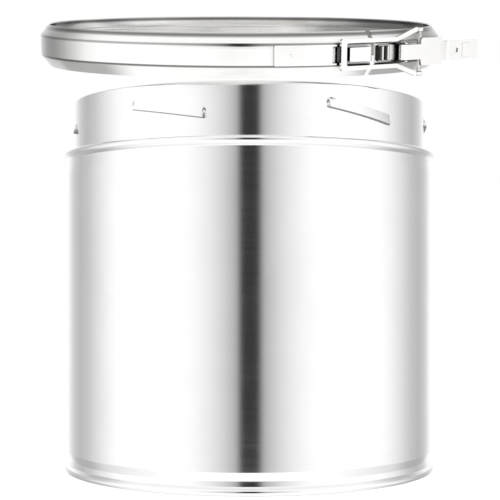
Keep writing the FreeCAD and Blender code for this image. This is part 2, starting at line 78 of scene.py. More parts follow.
def frame_along(start, run, up):
    """Frame at start with x along run and z along up."""
    x = run.normalized()
    z = up.normalized()
    y = z.cross(x)
    return Matrix.Translation(start) @ Matrix((x, y, z)).transposed().to_4x4()


def polar(radius, bearing, level=0.0):
    angle = math.radians(bearing)
    return Vector((radius * math.sin(angle), -radius * math.cos(angle), level))


def local_points(node, place):
    """Vertices of a CAD node in another frame, in millimetres."""
    back = place.inverted()
    return [(back @ vertex.co) / MM for vertex in frame["nodes"][node].data.vertices]


def spread(node, place, measure):
    """Least and greatest value of a measure over a CAD node's points."""
    values = [measure(point) for point in local_points(node, place)]
    return min(values), max(values)


def radius_of(point):
    return math.hypot(point.x, point.y)


def bearing_of(point):
    return math.degrees(math.atan2(point.x, -point.y))


WORLD = Matrix.Identity(4)
PIVOT_BEARING = 46.5
BAND = band_frame()
BAND_UP = BAND.to_3x3() @ Vector((0, 0, 1))
PIVOT = Vector(JOINTS["lever_pivot"]["pos_m"])
BAIL_END = Vector(JOINTS["bail_turn"]["pos_m"])
LEVER = frame_along(PIVOT, BAIL_END - PIVOT, BAND_UP)
LEVER_RUN = LEVER.to_3x3() @ Vector((1, 0, 0))
LEVER_OUT = LEVER.to_3x3() @ Vector((0, 1, 0))
LONG_PIN = frame_along(BAIL_END, LEVER_RUN, BAND_UP)
PIVOT_AT = (BAND.inverted() @ PIVOT) / MM
PIVOT_RADIUS = radius_of(PIVOT_AT)

CAN_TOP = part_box("can_shell")[1].z / MM
BASE_LOW, BASE_HIGH = (corner.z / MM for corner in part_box("base_plate"))
MOUTH_LOW, MOUTH_TOP = (corner.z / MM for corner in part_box("mouth_ring"))
LID_LOW, LID_TOP = (corner.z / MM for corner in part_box("lid"))
LID_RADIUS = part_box("lid")[1].x / MM
BAND_RADIUS = spread("band_back_arc", BAND, radius_of)[1]
BAND_LIP_LEVEL = spread("band_back_arc", BAND, lambda point: point.z)[1]
GAP_LEFT = spread("band_left_arc", BAND, bearing_of)[1]
GAP_RIGHT = spread("band_right_arc", BAND, bearing_of)[0]
CATCH_START, CATCH_END = spread("catch_plate", BAND, bearing_of)
BRACKET_START, BRACKET_END = spread("pivot_bracket", BAND, bearing_of)
PLATE_RADIUS = spread("catch_plate", BAND, radius_of)[0]
CLAW_RADIUS = spread("catch_plate", BAND, radius_of)[1]
LEVER_END = spread("lever", LEVER, lambda point: point.x)[1]
LEVER_SKIN = -3.4
BAR_AT = 26.9
BAR_RADIUS = 160.5
BAR = BAND @ (polar(BAR_RADIUS, BAR_AT) * MM)
BAIL = frame_along(BAR, BAIL_END - BAR, BAND_UP)
BAIL_REACH = ((BAIL.inverted() @ BAIL_END) / MM).x


# ---------------------------------------------------------------- can sizes

WALL = 1.0
NECK = 139.6
BODY = 145.0
GROOVE = 143.4
SHOULDER = 144.4
BEAD = 145.6
BEAD_RISE = 2.4
BEAD_LOW = 244.9
BEAD_HIGH = 250.9
FOOT = 145.4
FOOT_RISE = 2.2
FOOT_TOP = 5.4
FOOT_GROOVE_LOW = 6.2
FOOT_GROOVE_HIGH = 10.6
WALL_LOW = 16.4
WALL_HIGH = 235.0
WALL_ROWS = 12
SHOULDER_LOW = 241.0
NECK_LOW = 251.3
RAMP_COUNT = 6
RAMP_FIRST = 35.3
RAMP_HALF = 29.0
RAMP_RISE = 2.7
RAMP_CENTRE = 272.1
RAMP_SLOPE = math.tan(math.radians(8.8))
RAMP_LOW = -4.2
RAMP_HIGH = 4.2


# ---------------------------------------------------------------- outlines

def arc_between(start, stop, rise, steps=8):
    """Points of the arc from start to stop that bulges by rise to the right of the run."""
    chord = math.dist(start, stop)
    radius = (chord * chord / 4 + rise * rise) / (2 * rise)
    half = math.asin(chord / 2 / radius)
    along = ((stop[0] - start[0]) / chord, (stop[1] - start[1]) / chord)
    middle = ((start[0] + stop[0]) / 2, (start[1] + stop[1]) / 2)
    points = []
    for step in range(steps + 1):
        angle = half * (2 * step / steps - 1)
        run = radius * math.sin(angle)
        out = radius * (math.cos(angle) - math.cos(half))
        points.append((middle[0] + along[0] * run + along[1] * out,
                       middle[1] + along[1] * run - along[0] * out))
    return points


def eased(points, radius, steps=4, closed=True, least_turn=14):
    """Outline with its corners rounded to about a radius; gentle corners stay as they are."""
    result = []
    count = len(points)
    for number, corner in enumerate(points):
        if not closed and number in (0, count - 1):
            result.append(corner)
            continue
        corner = Vector(corner)
        back = Vector(points[number - 1]) - corner
        ahead = Vector(points[(number + 1) % count]) - corner
        turn = math.pi - back.angle(ahead, math.pi)
        if math.degrees(turn) < least_turn:
            result.append(tuple(corner))
            continue
        cut = min(radius * math.tan(turn / 2), 0.46 * back.length, 0.46 * ahead.length)
        first = corner + back.normalized() * cut
        last = corner + ahead.normalized() * cut
        for step in range(steps + 1):
            share = step / steps
            start, pull, end = (1 - share) ** 2, 2 * share * (1 - share), share ** 2
            result.append(tuple(first * start + corner * pull + last * end))
    return result


def ring_points(radius, count=24):
    """Points round a circle."""
    angles = [math.radians(360.0 * step / count) for step in range(count)]
    return [(radius * math.cos(angle), radius * math.sin(angle)) for angle in angles]


class Path:
    """Smooth line in a plane, with the place and direction at each distance along it."""

    def __init__(self, points):
        self.points = [Vector(point) for point in points]
        self.marks = [0.0]
        for before, after in zip(self.points, self.points[1:]):
            self.marks.append(self.marks[-1] + (after - before).length)
        self.length = self.marks[-1]

    def at(self, distance):
        last = len(self.points) - 2
        number = 0
        while number < last and distance > self.marks[number + 1]:
            number += 1
        before = self.points[number]
        run = self.points[number + 1] - before
        direction = run.normalized()
        return before + direction * (distance - self.marks[number]), direction


# ---------------------------------------------------------------- mesh pieces

RIM_ANGLE = 1.2


def new_mesh():
    mesh = bmesh.new()
    mesh.loops.layers.uv.new("grain")
    return mesh


def turned(mesh, outline, place=WORLD, segments=240, start=180.0, sweep=360.0, shape=None):
    """Outline of (radius, level) points turned about place's z axis; shape may move each point."""
    grain = mesh.loops.layers.uv.active
    full = sweep >= 360
    columns = segments if full else segments + 1
    rows = len(outline)
    runs = [0.0]
    for number in range(rows):
        runs.append(runs[-1] + math.dist(outline[number], outline[(number + 1) % rows]))
    widest = max(radius for radius, level in outline)
    grid = []
    for column in range(columns):
        bearing = start + sweep * column / segments
        for radius, level in outline:
            spot = shape(bearing, radius, level) if shape else (radius, level)
            grid.append(mesh.verts.new(place @ (polar(spot[0], bearing, spot[1]) * MM)))
    step = math.radians(sweep / segments) * widest
    for column in range(segments):
        ahead = (column + 1) % columns
        for row in range(rows):
            after = (row + 1) % rows
            corners = [grid[column * rows + row], grid[ahead * rows + row],
                       grid[ahead * rows + after], grid[column * rows + after]]
            face = mesh.faces.new(corners)
            places = [(column, row), (column + 1, row), (column + 1, row + 1), (column, row + 1)]
            for loop, (across, along) in zip(face.loops, places):
                loop[grain].uv = (across * step * MM, runs[along] * MM)
    if not full:
        mesh.faces.new(grid[:rows])
        mesh.faces.new(grid[-rows:][::-1])


def plate(mesh, outline, thickness, place=WORLD, path=None, holes=(), strip=2.0, edge=0.25):
    """Sheet cut to an outline of (along, up) points with holes, then bent along a path.

    The path lies in place's xy plane, half way through the sheet; without one the sheet stays flat.
    """
    sheet = new_mesh()
    grain = sheet.loops.layers.uv.active
    for loop in [outline, *holes]:
        corners = [sheet.verts.new((along, up, -thickness / 2)) for along, up in loop]
        for number, corner in enumerate(corners):
            sheet.edges.new((corner, corners[(number + 1) % len(corners)]))
    bmesh.ops.triangle_fill(sheet, use_beauty=True, edges=sheet.edges[:])
    if path:
        low = min(along for along, up in outline)
        high = max(along for along, up in outline)
        cuts = int((high - low) / strip)
        for number in range(1, cuts + 1):
            cut = low + (high - low) * number / (cuts + 1)
            everything = sheet.verts[:] + sheet.edges[:] + sheet.faces[:]
            bmesh.ops.bisect_plane(sheet, geom=everything, plane_co=(cut, 0, 0), plane_no=(1, 0, 0))
    lifted = bmesh.ops.extrude_face_region(sheet, geom=sheet.faces[:])["geom"]
    for item in lifted:
        if isinstance(item, bmesh.types.BMVert):
            item.co.z += thickness
    bmesh.ops.recalc_face_normals(sheet, faces=sheet.faces[:])
    rims = [rim for rim in sheet.edges if rim.is_manifold and rim.calc_face_angle() > RIM_ANGLE]
    bmesh.ops.bevel(sheet, geom=rims, offset=edge, segments=2, profile=0.5, affect="EDGES",
                    clamp_overlap=True)
    for face in sheet.faces:
        for loop in face.loops:
            loop[grain].uv = (loop.vert.co.x * MM, loop.vert.co.y * MM)
    for vertex in sheet.verts:
        along, up, out = vertex.co
        if path:
            middle, direction = path.at(along)
            side = Vector((direction.y, -direction.x))
            spot = Vector((*(middle + side * out), up))
        else:
            spot = Vector((along, -out, up))
        vertex.co = place @ (spot * MM)
    add_mesh(mesh, sheet)


def add_mesh(mesh, other):
    """Copy another mesh into this one and free it."""
    kept = bpy.data.meshes.new("kept")
    other.to_mesh(kept)
    other.free()
    mesh.from_mesh(kept)
    bpy.data.meshes.remove(kept)


def rod(mesh, radius, half, place, round_end=0.4, segments=40):
    """Pin along place's z axis with rounded ends, half its length to each side."""
    outline = [(0, -half), (radius, -half), (radius, half), (0, half)]
    turned(mesh, eased(outline, round_end, closed=False), place, segments)


def piece(name, mesh, look, body, nodes, flat=False, sharp=38):
    """Make the drawn mesh an object that rides on a body and stands for CAD nodes."""
    bmesh.ops.remove_doubles(mesh, verts=mesh.verts[:], dist=1e-7)
    bmesh.ops.recalc_face_normals(mesh, faces=mesh.faces[:])
    data = bpy.data.meshes.new(name)
    mesh.to_mesh(data)
    mesh.free()
    data.polygons.foreach_set("use_smooth", [True] * len(data.polygons))
    data.set_sharp_from_angle(angle=math.radians(sharp))
    data.materials.append(look)
    made = bpy.data.objects.new(name, data)
    bpy.context.scene.collection.objects.link(made)
    if flat:
        weighted = made.modifiers.new("flat_faces", "WEIGHTED_NORMAL")
        weighted.keep_sharp = True
    if body:
        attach(made, body)
    if nodes:
        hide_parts(*nodes)
    return made


# ---------------------------------------------------------------- materials

class Nodes:
    """Short way to add and join shader nodes."""

    def __init__(self, tree):
        self.tree = tree
        tree.nodes.clear()

    def add(self, kind, settings=None, **inputs):
        node = self.tree.nodes.new(kind)
        for name, value in (settings or {}).items():
            setattr(node, name, value)
        for name, value in inputs.items():
            self.set(node, name.replace("_", " "), value)
        return node

    def set(self, node, name, value):
        if isinstance(value, bpy.types.NodeSocket):
            self.tree.links.new(value, node.inputs[name])
        else:
            node.inputs[name].default_value = value

    def math(self, operation, first, second=None):
        node = self.add("ShaderNodeMath", {"operation": operation})
        self.set(node, 0, first)
        if second is not None:
            self.set(node, 1, second)
        return node.outputs[0]

    def ranged(self, value, low, high, to_low, to_high, smooth=False):
        kind = "SMOOTHSTEP" if smooth else "LINEAR"
        node = self.add("ShaderNodeMapRange", {"interpolation_type": kind}, Value=value)
        for name, number in (("From Min", low), ("From Max", high), ("To Min", to_low), ("To Max", to_high)):
            node.inputs[name].default_value = number
        return node.outputs["Result"]

    def ramp(self, value, stops):
        node = self.add("ShaderNodeValToRGB", Fac=value)
        band = node.color_ramp
        for number, (place, colour) in enumerate(stops):
            stop = band.elements[number] if number < 2 else band.elements.new(place)
            stop.position = place
            stop.color = (*colour, 1)
        return node.outputs["Color"]


def new_look(name):
    material = bpy.data.materials.new(name)
    material.use_nodes = True
    return material, Nodes(material.node_tree)


def grey_stops(levels, low, high):
    """Colour stops for (value, grey) pairs over a range."""
    return [((value - low) / (high - low), (grey,) * 3) for value, grey in levels]


def vector_math(nodes, operation, first, second=None):
    node = nodes.add("ShaderNodeVectorMath", {"operation": operation})
    nodes.set(node, 0, first)
    if second is not None:
        nodes.set(node, 1, second)
    return node.outputs["Value" if operation == "DOT_PRODUCT" else "Vector"]


def mixed(nodes, amount, first, second, blend="MIX"):
    """Colour mix; a Mix node's colour inputs are number 6 and 7, and its colour output number 2."""
    node = nodes.add("ShaderNodeMix", {"data_type": "RGBA", "blend_type": blend})
    nodes.set(node, 0, amount)
    nodes.set(node, 6, first)
    nodes.set(node, 7, second)
    return node.outputs[2]


def multiplied(nodes, first, second):
    return mixed(nodes, 1.0, first, second, "MULTIPLY")


def within(nodes, value, low, low_full, high_full, high):
    """One between the two full values, easing to zero at low and high."""
    rising = nodes.ranged(value, low, low_full, 0.0, 1.0, smooth=True)
    falling = nodes.ranged(value, high_full, high, 1.0, 0.0, smooth=True)
    return nodes.math("MULTIPLY", rising, falling)


def band_painted_shade(nodes, where):
    """Painted shade and reflections in the strip's colour: darker at its bends and lips, towards its sides,
    and on its hollow side.
    """
    normal = where.outputs["Normal"]
    away = vector_math(nodes, "SUBTRACT", where.outputs["Object"], BAND.translation)
    lean = vector_math(nodes, "DOT_PRODUCT", normal, BAND_UP)
    bends = nodes.ramp(nodes.ranged(lean, -1, 1, 0.0, 1.0), grey_stops(BAND_BEND_SHADE, -1, 1))
    across = nodes.add("ShaderNodeSeparateXYZ", Vector=away).outputs["X"]
    share = nodes.ranged(across, -BAND_RADIUS * MM, BAND_RADIUS * MM, 0.0, 1.0)
    outside = multiplied(nodes, bends, nodes.ramp(share, grey_stops(BAND_OUTSIDE_SHADE, -1, 1)))
    inside = nodes.ramp(share, grey_stops(BAND_INSIDE_REFLECTION, -1, 1))
    facing = vector_math(nodes, "DOT_PRODUCT", normal, away)
    side = mixed(nodes, nodes.math("LESS_THAN", facing, 0.0), outside, inside)
    rise = vector_math(nodes, "DOT_PRODUCT", away, BAND_UP)
    lip = nodes.math("DIVIDE", rise, BAND_LIP_LEVEL * MM)
    return multiplied(nodes, side, nodes.ramp(lip, grey_stops(BAND_LIP_SHADE, 0, 1)))


def latch_edge_shade(nodes, where):
    """Painted shade on the upper and lower edges of the latch's sheets, by how far they lean up or down."""
    lean = vector_math(nodes, "DOT_PRODUCT", where.outputs["Normal"], BAND_UP)
    return nodes.ramp(nodes.ranged(lean, -1, 1, 0.0, 1.0), grey_stops(LATCH_EDGE_SHADE, -1, 1))


def bracket_painted_shade(nodes, where):
    """Painted shade: the bracket darkens wherever it turns away from straight out, on its rolls' flanks and
    on its edges.
    """
    away = vector_math(nodes, "SUBTRACT", where.outputs["Object"], BAND.translation)
    outward = vector_math(nodes, "NORMALIZE", away)
    facing = vector_math(nodes, "DOT_PRODUCT", where.outputs["Normal"], outward)
    return nodes.ramp(facing, grey_stops(ROLL_FACE_SHADE, 0, 1))


def ramp_painted_shade(nodes, where):
    """Painted shade: a dark line where the neck's ramps stand out of the wall."""
    flat = vector_math(nodes, "MULTIPLY", where.outputs["Object"], (1, 1, 0))
    outward = vector_math(nodes, "NORMALIZE", flat)
    facing = vector_math(nodes, "DOT_PRODUCT", where.outputs["Normal"], outward)
    turned_off = nodes.ranged(nodes.math("ABSOLUTE", facing), 0.5, 0.85, 1.0, 0.0, smooth=True)
    level = nodes.add("ShaderNodeSeparateXYZ", Vector=where.outputs["Object"]).outputs["Z"]
    low = (NECK_LOW + 3) * MM
    high = (CAN_TOP - 3) * MM
    above = nodes.math("GREATER_THAN", level, low)
    below = nodes.math("LESS_THAN", level, high)
    line = nodes.math("MULTIPLY", turned_off, nodes.math("MULTIPLY", above, below))
    line = nodes.math("MULTIPLY", line, RAMP_SHADE)
    return nodes.math("SUBTRACT", 1.0, line)


def steel(name, tint, roughness, grain, grain_depth, smudge, waves=0.0, worn=0.0, heat=0.0,
          painted_light=None, crevice_shade=0.0):
    """Stainless sheet: rolling grain, faint smudges, slight waviness, worn edges, heat tint at a seam, and
    painted shade and reflections from a tone function and from darkening in crevices.
    """
    material, nodes = new_look(name)
    where = nodes.add("ShaderNodeTexCoord")
    along, across = grain
    stretch = nodes.add("ShaderNodeMapping", Vector=where.outputs["UV"], Scale=(along, across, 1))
    fine = nodes.add("ShaderNodeTexNoise", Vector=stretch.outputs[0], Scale=1.0, Detail=4.0, Roughness=0.65)
    cloud = nodes.add("ShaderNodeTexNoise", Vector=where.outputs["Object"], Scale=22.0, Detail=5.0,
                      Roughness=0.6, Distortion=0.4)
    speck = nodes.add("ShaderNodeTexNoise", Vector=where.outputs["Object"], Scale=520.0, Detail=2.0)
    shade = nodes.ranged(cloud.outputs["Fac"], 0.35, 0.7, 1.0, 1.0 - smudge, smooth=True)
    streak = nodes.ranged(fine.outputs["Fac"], 0.3, 0.75, 1.0 - smudge * 0.6, 1.0)
    level = nodes.math("MULTIPLY", shade, streak)
    tinted = multiplied(nodes, (*tint, 1), level)
    if heat:
        ends = nodes.add("ShaderNodeSeparateXYZ", Vector=where.outputs["Object"])
        behind = nodes.math("GREATER_THAN", ends.outputs["Y"], 0.0)
        near = nodes.ranged(nodes.math("ABSOLUTE", ends.outputs["X"]), 0.002, 0.012, 1.0, 0.0, smooth=True)
        broken = nodes.ranged(cloud.outputs["Fac"], 0.3, 0.6, 0.6, 1.0)
        amount = nodes.math("MULTIPLY", nodes.math("MULTIPLY", near, behind), broken)
        tinted = mixed(nodes, nodes.math("MULTIPLY", amount, heat), tinted, STRAW)
    # Painted shade and reflections: the tone function's greys multiply the colour.
    if painted_light:
        tinted = multiplied(nodes, tinted, painted_light(nodes, where))
    # Painted shade: the colour darkens where ambient occlusion finds nearby surfaces, in crevices and between
    # parts.
    if crevice_shade:
        nook = nodes.add("ShaderNodeAmbientOcclusion", {"samples": 4}, Distance=0.007)
        shadow = nodes.ranged(nook.outputs["AO"], 0.35, 0.9, 1.0 - crevice_shade, 1.0, smooth=True)
        tinted = multiplied(nodes, tinted, shadow)
    gloss = nodes.math("ADD", nodes.ranged(fine.outputs["Fac"], 0.3, 0.75, roughness * 0.85, roughness * 1.2),
                       nodes.ranged(cloud.outputs["Fac"], 0.45, 0.75, 0.0, smudge * 0.6, smooth=True))
    if worn:
        corner = nodes.add("ShaderNodeNewGeometry").outputs["Pointiness"]
        rubbed = nodes.ranged(corner, 0.5, 0.56, 0.0, worn, smooth=True)
        gloss = nodes.math("SUBTRACT", gloss, rubbed)
    height = nodes.math("ADD", fine.outputs["Fac"], nodes.math("MULTIPLY", speck.outputs["Fac"], 0.25))
    bump = nodes.add("ShaderNodeBump", Strength=grain_depth, Distance=0.0003, Height=height)
    if waves:
        swell = nodes.add("ShaderNodeTexNoise", Vector=where.outputs["Object"], Scale=9.0, Detail=1.0)
        bump = nodes.add("ShaderNodeBump", Strength=waves, Distance=0.002, Height=swell.outputs["Fac"],
                         Normal=bump.outputs[0])
    shader = nodes.add("ShaderNodeBsdfPrincipled", Metallic=1.0, Roughness=gloss, Normal=bump.outputs[0])
    nodes.set(shader, "Base Color", tinted)
    nodes.add("ShaderNodeOutputMaterial", Surface=shader.outputs[0])
    return material


def weld_metal():
    """Weld bead: ripples and blue and straw heat colours."""
    material, nodes = new_look("weld_metal")
    where = nodes.add("ShaderNodeTexCoord")
    ripple = nodes.add("ShaderNodeTexWave", {"wave_type": "BANDS", "bands_direction": "X"},
                       Vector=where.outputs["UV"], Scale=160.0, Distortion=3.0, Detail=2.0)
    cloud = nodes.add("ShaderNodeTexNoise", Vector=where.outputs["Object"], Scale=90.0, Detail=4.0)
    colours = nodes.ramp(cloud.outputs["Fac"], [
        (0.3, (0.52, 0.52, 0.54)), (0.47, (0.62, 0.55, 0.44)),
        (0.58, (0.44, 0.43, 0.47)), (0.75, (0.6, 0.6, 0.6))])
    gloss = nodes.ranged(cloud.outputs["Fac"], 0.3, 0.7, 0.28, 0.5)
    bump = nodes.add("ShaderNodeBump", Strength=0.5, Distance=0.0003, Height=ripple.outputs["Fac"])
    shader = nodes.add("ShaderNodeBsdfPrincipled", Metallic=1.0, Roughness=gloss, Normal=bump.outputs[0])
    nodes.set(shader, "Base Color", colours)
    nodes.add("ShaderNodeOutputMaterial", Surface=shader.outputs[0])
    return material


def rubber():
    """Moulded black rubber with a dusty bloom."""
    material, nodes = new_look("gasket_rubber")
    where = nodes.add("ShaderNodeTexCoord")
    fine = nodes.add("ShaderNodeTexNoise", Vector=where.outputs["Object"], Scale=900.0, Detail=3.0)
    dust = nodes.add("ShaderNodeTexNoise", Vector=where.outputs["Object"], Scale=35.0, Detail=5.0)
    colour = nodes.ramp(dust.outputs["Fac"], [(0.35, (0.018, 0.018, 0.018)), (0.75, (0.06, 0.058, 0.055))])
    gloss = nodes.ranged(dust.outputs["Fac"], 0.3, 0.7, 0.5, 0.75)
    bump = nodes.add("ShaderNodeBump", Strength=0.3, Distance=0.0002, Height=fine.outputs["Fac"])
    shader = nodes.add("ShaderNodeBsdfPrincipled", Roughness=gloss, Normal=bump.outputs[0])
    nodes.set(shader, "Base Color", colour)
    nodes.add("ShaderNodeOutputMaterial", Surface=shader.outputs[0])
    return material


STRAW = (0.58, 0.42, 0.25, 1)
# Depth of the painted shade line along the neck's ramps.
RAMP_SHADE = 0.75
# Painted shade and reflections on the band: greys by how its surface leans, towards its sides, on its hollow
# side and near its lips.
BAND_BEND_SHADE = [(-1, 0.3), (-0.78, 0.3), (-0.64, 1.0), (-0.52, 1.0), (-0.36, 0.3), (-0.16, 0.16),
              (-0.05, 1.0), (0.05, 1.0), (0.16, 0.55), (0.4, 0.36), (0.56, 1.0), (1, 1.0)]
BAND_SIDE_SHADE = [(0.7, 1.0), (0.8, 0.8), (0.9, 0.45), (1, 0.25)]
BAND_OUTSIDE_SHADE = [(-across, grey) for across, grey in reversed(BAND_SIDE_SHADE)] + BAND_SIDE_SHADE
BAND_INSIDE_REFLECTION = [(-1, 0.4), (-0.8, 1.0), (-0.55, 0.8), (-0.3, 1.0), (0.25, 1.0), (0.5, 0.45),
               (0.8, 0.35), (1, 0.6)]
BAND_LIP_SHADE = [(0, 1.0), (0.74, 1.0), (0.83, 0.32), (0.9, 0.18), (0.97, 0.6), (1, 0.8)]
# Painted shade on the bracket, by how straight out from the band it faces.
ROLL_FACE_SHADE = [(0, 0.08), (0.88, 0.08), (0.975, 0.8), (1, 1.0)]
# Painted shade on the latch's faces that lean up or down.
EDGE_SIDE_SHADE = [(0.08, 1.0), (0.16, 0.95), (0.4, 0.12), (1, 0.1)]
LATCH_EDGE_SHADE = [(-lean, grey) for lean, grey in reversed(EDGE_SIDE_SHADE)] + EDGE_SIDE_SHADE
# The shell, band, latch and bracket looks carry painted shade and reflections in their colour.
LOOKS = {
    "shell_steel": steel("shell_steel", (0.93, 0.93, 0.93), 0.105, (6, 500), 0.03, 0.03, 0.02, heat=0.5,
                         painted_light=ramp_painted_shade),
    "band_steel": steel("band_steel", (0.95, 0.943, 0.93), 0.15, (8, 700), 0.05, 0.04, 0.03, 0.05,
                        painted_light=band_painted_shade, crevice_shade=0.8),
    "latch_steel": steel("latch_steel", (0.95, 0.942, 0.93), 0.19, (60, 420), 0.06, 0.05, 0.03, 0.06,
                         painted_light=latch_edge_shade, crevice_shade=0.9),
    "bracket_steel": steel("bracket_steel", (0.93, 0.922, 0.91), 0.2, (60, 420), 0.06, 0.05, 0.03, 0.06,
                           painted_light=bracket_painted_shade, crevice_shade=0.9),
    "pin_steel": steel("pin_steel", (0.72, 0.71, 0.7), 0.24, (900, 30), 0.1, 0.1),
    "inner_steel": steel("inner_steel", (0.86, 0.86, 0.86), 0.26, (5, 650), 0.12, 0.07, 0.05),
    "weld_steel": weld_metal(),
    "gasket_rubber": rubber(),
}


# ---------------------------------------------------------------- can

def smooth_step(value):
    value = min(max(value, 0.0), 1.0)
    return value * value * (3 - 2 * value)


def ramp_along(bearing):
    """Distance of a bearing from the middle of the nearest ramp, round the neck."""
    pitch = 360.0 / RAMP_COUNT
    turn = (bearing - RAMP_FIRST + pitch / 2) % pitch - pitch / 2
    return NECK * math.sin(math.radians(turn))


def ramp_drop(bearing, level):
    """How far the wall's rows sink at a bearing, so that they run along the slanted ramps."""
    along = ramp_along(bearing)
    reach = NECK * math.sin(math.radians(180.0 / RAMP_COUNT))
    beyond = max(abs(along) - RAMP_HALF, 0.0) / (reach - RAMP_HALF)
    drop = math.copysign(min(abs(along), RAMP_HALF) * RAMP_SLOPE * (1 - beyond), along)
    low = (level - NECK_LOW - 2) / (RAMP_CENTRE + RAMP_LOW - 2 - NECK_LOW - 2)
    high = (CAN_TOP - 1 - level) / (CAN_TOP - 1 - RAMP_CENTRE - RAMP_HIGH - 1)
    return drop * smooth_step(low) * smooth_step(high)


def ramp_height(bearing, level):
    """How far the slanted ramps stand out of the neck; level is counted along the sunk rows."""
    up = level - RAMP_CENTRE
    ends = smooth_step((RAMP_HALF - abs(ramp_along(bearing))) / 1.4)
    low = smooth_step((up - RAMP_LOW) / 0.7)
    high = min(max((RAMP_HIGH - up) / (RAMP_HIGH - RAMP_LOW), 0.0), 1.0)
    return RAMP_RISE * ends * low * high


def shell_outline():
    """Outside upwards with its beads and grooves, then the inside downwards."""
    lower = eased([
        (FOOT - 1.6, 0.0), *arc_between((FOOT, 0.4), (FOOT, FOOT_TOP), FOOT_RISE, 12),
        (GROOVE, FOOT_GROOVE_LOW), (GROOVE, FOOT_GROOVE_HIGH), (BODY, WALL_LOW), (BODY, WALL_LOW + 3.6)],
        2.0, closed=False, least_turn=8)
    plain = WALL_LOW + 3.6
    wall = [(BODY, plain + (WALL_HIGH - 3 - plain) * row / WALL_ROWS) for row in range(1, WALL_ROWS + 1)]
    upper = eased([
        (BODY, WALL_HIGH), (SHOULDER, SHOULDER_LOW), (SHOULDER, BEAD_LOW - 0.6),
        *arc_between((BEAD, BEAD_LOW), (BEAD, BEAD_HIGH), BEAD_RISE, 14),
        (NECK, NECK_LOW), (NECK, NECK_LOW + 1.5)], 0.8, 4, closed=False, least_turn=18)
    step = RAMP_CENTRE + RAMP_LOW
    top = RAMP_CENTRE + RAMP_HIGH
    neck = []
    for low, high, rows in ((NECK_LOW + 2, step - 0.3, 8), (step - 0.2, step + 0.9, 11),
                            (step + 1.2, top + 0.5, 14), (top + 1, CAN_TOP - 0.6, 9)):
        neck += [(NECK, low + (high - low) * row / rows) for row in range(rows + 1)]
    rim = [(NECK - 0.15, CAN_TOP - 0.15), (NECK - 0.5, CAN_TOP), (NECK - WALL + 0.15, CAN_TOP - 0.15)]
    inside = eased([
        (NECK - WALL, CAN_TOP - 0.6), (NECK - WALL, NECK_LOW + 3), (NECK - WALL, NECK_LOW - WALL),
        (BEAD + 1 - WALL, BEAD_HIGH - WALL), (BEAD + 1 - WALL, BEAD_LOW + WALL),
        (SHOULDER - WALL, BEAD_LOW - 1.4), (SHOULDER - WALL, SHOULDER_LOW - 0.4),
        (BODY - WALL, WALL_HIGH - 0.4), (BODY - WALL, WALL_LOW + 0.4),
        (GROOVE - WALL, FOOT_GROOVE_HIGH + 0.4), (GROOVE - WALL, FOOT_GROOVE_LOW - 0.4),
        (FOOT, FOOT_TOP - 0.8), (FOOT, 1.2), (FOOT - 1.6, 1.0)], 1.0, closed=False)
    return lower + wall + upper + neck + rim + inside


def shell():
    def emboss(bearing, radius, level):
        outside = radius > NECK - 0.05 and level > NECK_LOW + 1.6
        if not outside:
            return radius, level
        return radius + ramp_height(bearing, level), level - ramp_drop(bearing, level)

    mesh = new_mesh()
    turned(mesh, shell_outline(), segments=900, shape=emboss)
    return piece("can_wall", mesh, LOOKS["shell_steel"], "can", ["can_shell"])


def side_seam():
    """Rippled weld bead up the back of the wall."""
    low, high = (corner.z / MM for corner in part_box("side_seam"))
    half = 2.1
    rise = 0.34
    steps = 260
    mesh = new_mesh()
    grain = mesh.loops.layers.uv.active
    rows = []
    for step in range(steps + 1):
        level = low + (high - low) * step / steps
        swell = 1 + 0.16 * math.sin(step * 1.9) + 0.07 * math.sin(step * 0.37)
        row = []
        for number in range(9):
            side = number / 4 - 1
            out = rise * (1 - side * side) * swell - 0.06
            bearing = 180 + math.degrees(side * half * swell / BODY)
            row.append(mesh.verts.new(polar(BODY + out, bearing, level) * MM))
        rows.append(row)
    for number, (before, after) in enumerate(zip(rows, rows[1:])):
        for column in range(8):
            face = mesh.faces.new([before[column], before[column + 1], after[column + 1], after[column]])
            for loop in face.loops:
                loop[grain].uv = (number * (high - low) / steps * MM, column * half / 4 * MM)
    return piece("seam_weld", mesh, LOOKS["weld_steel"], "can", ["side_seam"])


def base_plate():
    """Recessed bottom: down-turned flange, raised panel and one pressed ring."""
    outer = BODY - WALL - 0.1
    panel = 118.0
    level = BASE_HIGH - 3.0
    under = [(0, level + 2), (40, level + 2), (43, level + 3.2), (47, level + 3.2), (50, level + 2),
             (panel, level + 2), (panel + 2, level), (outer - WALL, level), (outer - WALL, BASE_LOW)]
    above = [(outer, BASE_LOW), (outer, level + WALL), (panel + 2.4, level + WALL), (panel + 0.4, level + 3),
             (50, level + 3), (47, level + 4.2), (43, level + 4.2), (40, level + 3), (0, level + 3)]
    mesh = new_mesh()
    turned(mesh, eased(under + above, 1.6, closed=False), segments=180)
    return piece("base_pan", mesh, LOOKS["inner_steel"], "can", ["base_plate"])


def ring_weld(name, node, corner, level, up):
    """Fillet weld with ripples in the corner between two sheets."""
    leg = 1.5

    def ripple(bearing, radius, height):
        swell = 1 + 0.1 * math.sin(math.radians(bearing * 190))
        return corner + (radius - corner) * swell, level + (height - level) * swell

    outline = [(corner, level), (corner, level + leg * up), (corner - leg * 0.62, level + leg * 0.55 * up),
               (corner - leg, level)]
    mesh = new_mesh()
    turned(mesh, eased(outline, 0.4), segments=720, shape=ripple)
    return piece(name, mesh, LOOKS["weld_steel"], "can", [node])


